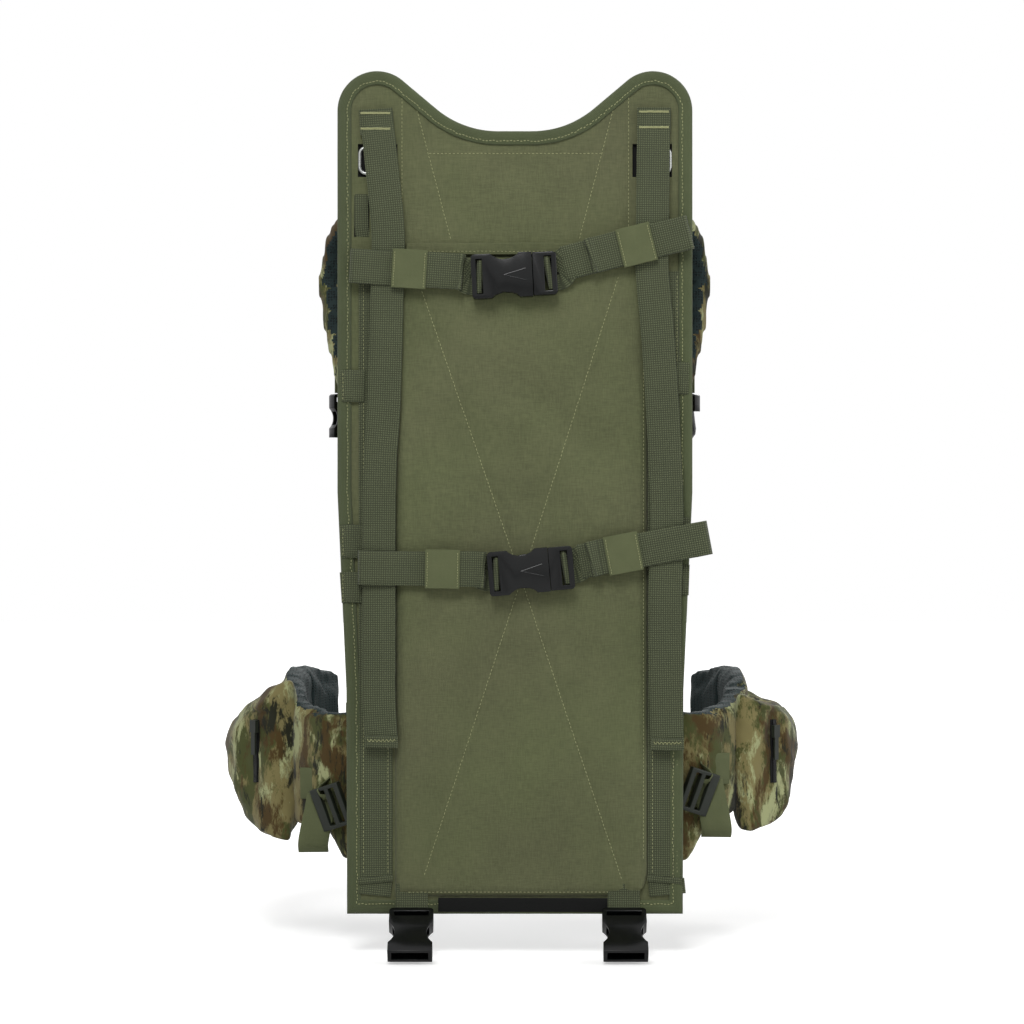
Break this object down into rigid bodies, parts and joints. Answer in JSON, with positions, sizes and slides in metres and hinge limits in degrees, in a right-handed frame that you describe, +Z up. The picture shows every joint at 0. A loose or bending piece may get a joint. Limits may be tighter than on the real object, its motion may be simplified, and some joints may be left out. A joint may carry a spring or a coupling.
{
  "type": "load-hauling hunting backpack",
  "caption": "Flat load-hauling hunting pack board with cross straps and buckles, camouflage shoulder straps, and a padded hip belt with pouches.",
  "frame": {"origin": "centre of the lumbar pad's face, where the pack rests against the wearer's lower back", "axes": "+Z up along the board towards the shoulder end; +Y out of the lumbar pad towards the wearer; the load hangs on the -Y side"},
  "size_m": [0.4655, 0.3511, 0.6905],
  "materials": {
    "olive_cordura": "coated woven nylon",
    "edge_tape": "woven binding tape",
    "back_cloth": "woven nylon",
    "sheet_plastic": "polyethylene sheet",
    "aluminium": "mill",
    "black_mesh": "brushed mesh",
    "olive_webbing": "ribbed nylon webbing",
    "keeper_web": "plain woven elastic",
    "black_plastic": "moulded acetal, satin",
    "steel_wire": "bright bent wire",
    "zip_metal": "dark enamel",
    "air_mesh": "open spacer mesh",
    "camo_cloth": "camouflage printed cloth with mesh lining"
  },
  "bodies": {
    "board": {"back_cover": "back_cloth", "back_pad": "air_mesh", "bottom_loops": "olive_webbing", "bottom_strip": "black_mesh", "channel_webs": "olive_webbing", "edge_binding": "edge_tape", "face_panel": "olive_cordura", "frame_sheet": "sheet_plastic", "front_panel": "olive_cordura", "hang_strap_left": "olive_webbing", "hang_strap_right": "olive_webbing", "lifter_hooks": "steel_wire", "lifter_webs": "olive_webbing", "lumbar_pad": "air_mesh", "mid_buckle_socket": "black_plastic", "mid_keeper_left": "keeper_web", "mid_strap_left": "olive_webbing", "panel_hem": "olive_cordura", "side_loops": "olive_webbing", "stays": "aluminium", "upper_buckle_socket": "black_plastic", "upper_keeper_left": "keeper_web", "upper_strap_left": "olive_webbing", "yoke_panel": "back_cloth"},
    "upper_clip": {"upper_buckle_clip": "black_plastic", "upper_strap_right": "olive_webbing", "upper_keeper_right": "keeper_web"},
    "upper_latch_top": {"upper_latch_top": "black_plastic"},
    "upper_latch_bottom": {"upper_latch_bottom": "black_plastic"},
    "mid_clip": {"mid_buckle_clip": "black_plastic", "mid_strap_right": "olive_webbing", "mid_keeper_right": "keeper_web"},
    "mid_latch_top": {"mid_latch_top": "black_plastic"},
    "mid_latch_bottom": {"mid_latch_bottom": "black_plastic"},
    "bottom_buckle_left": {"bottom_buckle_left": "black_plastic"},
    "bottom_buckle_right": {"bottom_buckle_right": "black_plastic"},
    "shoulder_left": {"shoulder_pad_left": "camo_cloth", "shoulder_lock_left": "black_plastic", "lower_web_left": "olive_webbing"},
    "shoulder_right": {"shoulder_pad_right": "camo_cloth", "shoulder_lock_right": "black_plastic", "lower_web_right": "olive_webbing"},
    "chest_left": {"chest_web_left": "olive_webbing", "chest_socket": "black_plastic"},
    "chest_right": {"chest_web_right": "olive_webbing", "chest_clip": "black_plastic"},
    "belt_left": {"belt_wing_left": "camo_cloth", "pouch_left": "camo_cloth", "stabiliser_lock_left": "black_plastic", "stabiliser_web_left": "olive_webbing", "waist_web_left": "olive_webbing", "waist_socket": "black_plastic"},
    "belt_right": {"belt_wing_right": "camo_cloth", "pouch_right": "camo_cloth", "stabiliser_lock_right": "black_plastic", "stabiliser_web_right": "olive_webbing", "waist_web_right": "olive_webbing", "waist_clip": "black_plastic"},
    "zip_left": {"zip_slider_left": "zip_metal"},
    "zip_right": {"zip_slider_right": "zip_metal"}
  },
  "joints": [
    {"name": "upper_release", "type": "slide", "parent": "board", "child": "upper_clip", "axis": [0.9986, 0, 0.0523], "range_m": [0, 0.029]},
    {"name": "upper_squeeze_top", "type": "hinge", "parent": "upper_clip", "child": "upper_latch_top", "pos_m": [0.01301, -0.0508, 0.39122], "axis": [0, -1, 0], "range_deg": [0, 5], "stiffness_Nm_per_rad": 0.05},
    {"name": "upper_squeeze_bottom", "type": "hinge", "parent": "upper_clip", "child": "upper_latch_bottom", "pos_m": [0.01395, -0.0508, 0.37324], "axis": [0, -1, 0], "range_deg": [-5, 0], "stiffness_Nm_per_rad": 0.05},
    {"name": "mid_release", "type": "slide", "parent": "board", "child": "mid_clip", "axis": [0.9962, 0, 0.0872], "range_m": [0, 0.029]},
    {"name": "mid_squeeze_top", "type": "hinge", "parent": "mid_clip", "child": "mid_latch_top", "pos_m": [0.02566, -0.0508, 0.16169], "axis": [0, -1, 0], "range_deg": [0, 5], "stiffness_Nm_per_rad": 0.05},
    {"name": "mid_squeeze_bottom", "type": "hinge", "parent": "mid_clip", "child": "mid_latch_bottom", "pos_m": [0.02723, -0.0508, 0.14375], "axis": [0, -1, 0], "range_deg": [-5, 0], "stiffness_Nm_per_rad": 0.05},
    {"name": "bottom_buckle_tilt_left", "type": "hinge", "parent": "board", "child": "bottom_buckle_left", "pos_m": [-0.0806, -0.0454, -0.116], "axis": [1, 0, 0], "range_deg": [-30, 25], "stiffness_Nm_per_rad": 0.06},
    {"name": "shoulder_swing_left", "type": "hinge", "parent": "board", "child": "shoulder_left", "pos_m": [-0.058, 0.002, 0.3905], "axis": [1, 0, 0], "range_deg": [0, 12]},
    {"name": "chest_strap_swing_left", "type": "hinge", "parent": "shoulder_left", "child": "chest_left", "pos_m": [-0.14438, 0.14023, 0.3685], "axis": [-0.5299, 0.848, 0], "range_deg": [-20, 20]},
    {"name": "belt_swing_left", "type": "hinge", "parent": "board", "child": "belt_left", "pos_m": [-0.09, -0.007, -0.0225], "axis": [0, 0, -1], "range_deg": [-6, 10], "stiffness_Nm_per_rad": 3},
    {"name": "zip_slide_left", "type": "slide", "parent": "belt_left", "child": "zip_left", "axis": [0, 0, -1], "range_m": [0, 0.045]},
    {"name": "bottom_buckle_tilt_right", "type": "hinge", "parent": "board", "child": "bottom_buckle_right", "pos_m": [0.085, -0.0454, -0.116], "axis": [1, 0, 0], "range_deg": [-30, 25], "stiffness_Nm_per_rad": 0.06},
    {"name": "shoulder_swing_right", "type": "hinge", "parent": "board", "child": "shoulder_right", "pos_m": [0.058, 0.002, 0.3905], "axis": [1, 0, 0], "range_deg": [0, 12]},
    {"name": "chest_strap_swing_right", "type": "hinge", "parent": "shoulder_right", "child": "chest_right", "pos_m": [0.14438, 0.14023, 0.3685], "axis": [0.5299, 0.848, 0], "range_deg": [-20, 20]},
    {"name": "belt_swing_right", "type": "hinge", "parent": "board", "child": "belt_right", "pos_m": [0.09, -0.007, -0.0225], "axis": [0, 0, 1], "range_deg": [-6, 10], "stiffness_Nm_per_rad": 3},
    {"name": "zip_slide_right", "type": "slide", "parent": "belt_right", "child": "zip_right", "axis": [0, 0, -1], "range_m": [0, 0.045]}
  ],
  "couplings": [
    {"joint": "upper_squeeze_bottom", "follows": "upper_squeeze_top", "ratio": -1},
    {"joint": "mid_squeeze_bottom", "follows": "mid_squeeze_top", "ratio": -1}
  ]
}
